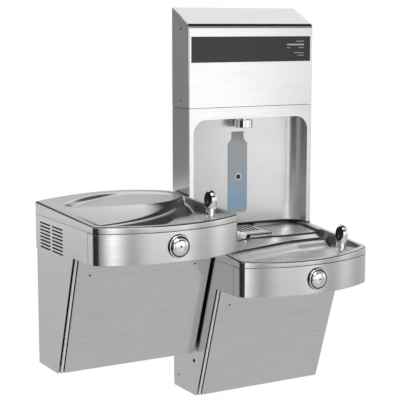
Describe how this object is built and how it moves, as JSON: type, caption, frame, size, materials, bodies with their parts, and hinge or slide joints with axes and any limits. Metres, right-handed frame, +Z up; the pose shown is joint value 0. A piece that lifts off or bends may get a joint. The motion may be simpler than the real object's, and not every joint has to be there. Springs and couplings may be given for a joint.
{
  "type": "drinking fountain",
  "caption": "Bi-level wall-hung stainless drinking fountain with push buttons, hooded bubblers and a bottle-filling tower above the lower basin.",
  "frame": {"origin": "middle of the hanger plate's back face, on the wall", "axes": "+X along the wall to the right, +Y into the wall, +Z up"},
  "size_m": [0.942, 0.498, 1.2315],
  "materials": {
    "stainless": "satin brushed stainless steel",
    "galvanised": "galvanised sheet",
    "chrome": "polished chrome",
    "spring_steel": "bright wire",
    "brass": "cast brass",
    "copper": "drawn copper tube",
    "aluminium": "finned aluminium",
    "black_plastic": "smooth black plastic",
    "black_paint": "black enamel",
    "grey_plastic": "moulded grey plastic",
    "white_plastic": "smooth white plastic",
    "blue_window": "smooth tinted plastic, grey at the top to blue at the foot",
    "white_pipe": "white waste pipe"
  },
  "bodies": {
    "fountain": {"hanger_plate": "galvanised", "left_basin": "stainless", "left_apron": "stainless", "left_left_panel": "stainless", "left_right_panel": "stainless", "left_front_panel": "stainless", "left_back_panel": "galvanised", "left_bottom_pan": "galvanised", "left_under_pan": "stainless", "left_button_bezel": "chrome", "left_button_spring": "spring_steel", "left_valve": "brass", "left_bubbler_base": "chrome", "left_bubbler_hood": "chrome", "left_strainer": "chrome", "left_drain_pipe": "white_pipe", "left_water_line": "copper", "right_basin": "stainless", "right_apron": "stainless", "right_left_panel": "stainless", "right_right_panel": "stainless", "right_front_panel": "stainless", "right_back_panel": "galvanised", "right_bottom_pan": "galvanised", "right_under_pan": "stainless", "right_button_bezel": "chrome", "right_button_spring": "spring_steel", "right_valve": "brass", "right_bubbler_base": "chrome", "right_bubbler_hood": "chrome", "right_strainer": "chrome", "right_drain_pipe": "white_pipe", "right_water_line": "copper", "drip_grate": "stainless", "tower_hood": "stainless", "tower_wrapper": "stainless", "tower_back_plate": "galvanised", "tower_seal": "black_plastic", "alcove_liner": "stainless", "display_panel": "black_plastic", "filling_nozzle": "chrome", "bottle_window": "blue_window", "sensor_ring": "white_plastic", "sensor_lens": "black_plastic", "filling_valve": "grey_plastic", "filling_line": "white_pipe", "compressor": "black_paint", "condenser": "aluminium", "fan_motor": "black_paint"},
    "left_button": {"left_button": "chrome"},
    "right_button": {"right_button": "chrome"},
    "fan": {"fan_blade": "grey_plastic"}
  },
  "joints": [
    {"name": "left_button_press", "type": "slide", "parent": "fountain", "child": "left_button", "axis": [0, 1, 0], "range_m": [0, 0.005], "stiffness_N_per_m": 900, "springref_m": -0.004, "deforming": ["left_button_spring"]},
    {"name": "right_button_press", "type": "slide", "parent": "fountain", "child": "right_button", "axis": [0, 1, 0], "range_m": [0, 0.005], "stiffness_N_per_m": 900, "springref_m": -0.004, "deforming": ["right_button_spring"]},
    {"name": "fan_spin", "type": "hinge", "parent": "fountain", "child": "fan", "pos_m": [-0.405, -0.083, -0.0987], "axis": [1, 0, 0], "continuous": true}
  ]
}
